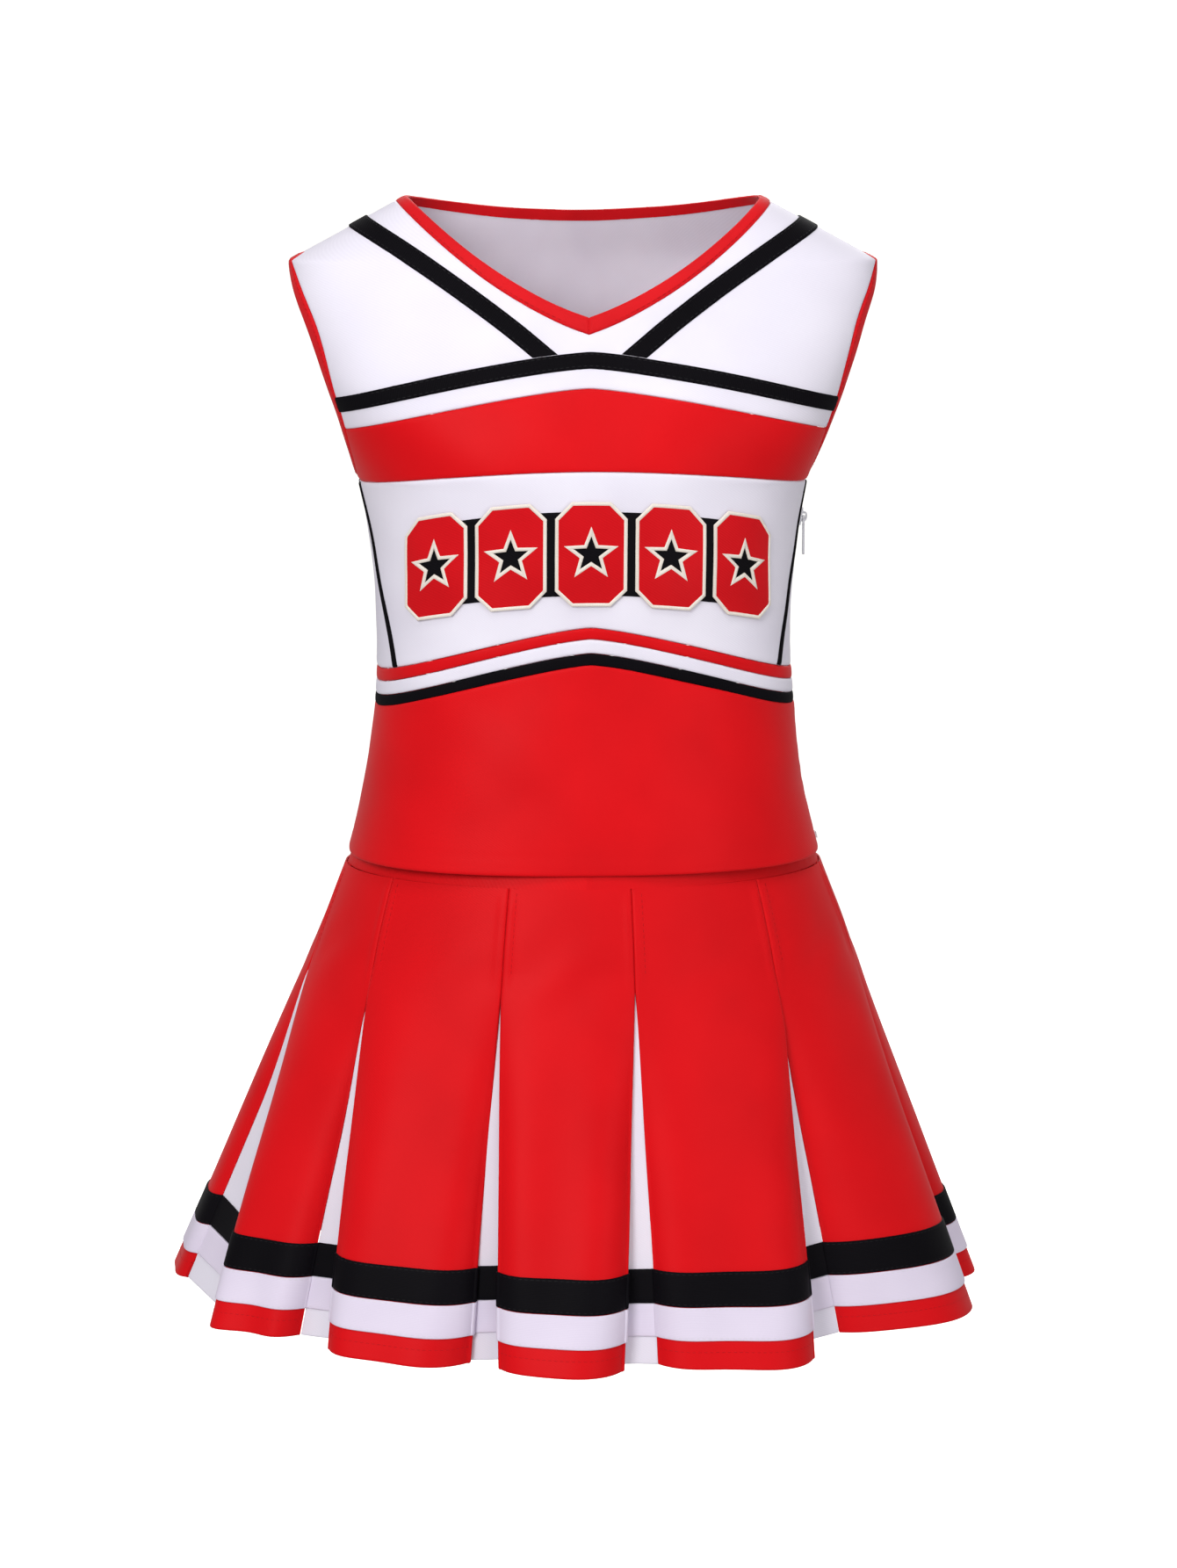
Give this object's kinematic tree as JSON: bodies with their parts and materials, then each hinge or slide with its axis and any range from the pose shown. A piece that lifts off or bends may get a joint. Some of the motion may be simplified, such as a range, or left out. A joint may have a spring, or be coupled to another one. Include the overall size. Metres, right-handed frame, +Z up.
{
  "type": "cheer uniform",
  "caption": "Child's sleeveless V-neck cheer top with chevron trims, star block emblem and side zip, over a box-pleated skirt with contrast inserts and hem stripes.",
  "frame": {"origin": "centre of the wearer's waist, level with the top edge of the skirt's waistband", "axes": "+Z up the wearer's body, the wearer faces -Y, +X is the wearer's left"},
  "size_m": [0.5091, 0.3579, 0.6823],
  "materials": {
    "red_twill": "satin-faced polyester twill, sewn",
    "white_twill": "satin-faced polyester twill, sewn",
    "red_binding": "folded knit binding with a row of stitches",
    "black_braid": "flat woven braid",
    "white_ribbon": "flat woven ribbon",
    "red_applique": "twill with a satin-stitched edge",
    "black_applique": "twill with a satin-stitched edge",
    "elastic": "knitted ribbed elastic",
    "zip_tape": "woven tape with a nylon coil",
    "zip_metal": "white enamelled zinc"
  },
  "bodies": {
    "skirt": {"waistband": "red_twill", "waist_elastic": "elastic", "pleat_panel_01": "red_twill", "pleat_panel_02": "red_twill", "pleat_panel_03": "red_twill", "pleat_panel_04": "red_twill", "pleat_panel_05": "red_twill", "pleat_panel_06": "red_twill", "pleat_panel_07": "red_twill", "pleat_panel_08": "red_twill", "pleat_panel_09": "red_twill", "pleat_panel_10": "red_twill", "pleat_panel_11": "red_twill", "pleat_insert_01": "white_twill", "pleat_insert_02": "white_twill", "pleat_insert_03": "white_twill", "pleat_insert_04": "white_twill", "pleat_insert_05": "white_twill", "pleat_insert_06": "white_twill", "pleat_insert_07": "white_twill", "pleat_insert_08": "white_twill", "pleat_insert_09": "white_twill", "pleat_insert_10": "white_twill", "pleat_insert_11": "white_twill", "trim_white": "white_ribbon", "trim_black": "black_braid"},
    "top": {"front_yoke": "white_twill", "back_yoke": "white_twill", "shoulder_braid_left": "black_braid", "shoulder_braid_right": "black_braid", "chest_braid_front": "black_braid", "chest_braid_back": "black_braid", "chest_band_front": "red_twill", "chest_band_back": "red_twill", "midriff_front": "white_twill", "midriff_back": "white_twill", "side_panel_left": "white_twill", "side_panel_right": "white_twill", "side_piping_left": "black_braid", "side_piping_right": "black_braid", "waist_stripe_red": "red_twill", "waist_stripe_white": "white_twill", "waist_stripe_black": "black_braid", "lower_front": "red_twill", "lower_back": "red_twill", "neck_binding": "red_binding", "armhole_binding_left": "red_binding", "armhole_binding_right": "red_binding", "zip_tape_front": "zip_tape", "zip_tape_back": "zip_tape", "zip_top_stop": "zip_metal", "zip_bottom_stop": "zip_metal", "emblem_backing": "black_applique", "emblem_block_1": "red_applique", "emblem_block_2": "red_applique", "emblem_block_3": "red_applique", "emblem_block_4": "red_applique", "emblem_block_5": "red_applique"},
    "zip_slider": {"zip_slider": "zip_metal"},
    "zip_pull": {"zip_pull": "zip_metal"}
  },
  "joints": [
    {"name": "top_lift", "type": "slide", "parent": "skirt", "child": "top", "axis": [0, 0, 1], "range_m": [0, 0.4]},
    {"name": "zip_run", "type": "hinge", "parent": "top", "child": "zip_slider", "pos_m": [0.6106, 0, 0.109], "axis": [0, 1, 0], "range_deg": [-22.4, 0]},
    {"name": "zip_pull_swing", "type": "hinge", "parent": "zip_slider", "child": "zip_pull", "pos_m": [0.13438, 0, 0.17944], "axis": [0, 1, 0], "range_deg": [-160, 0]}
  ]
}
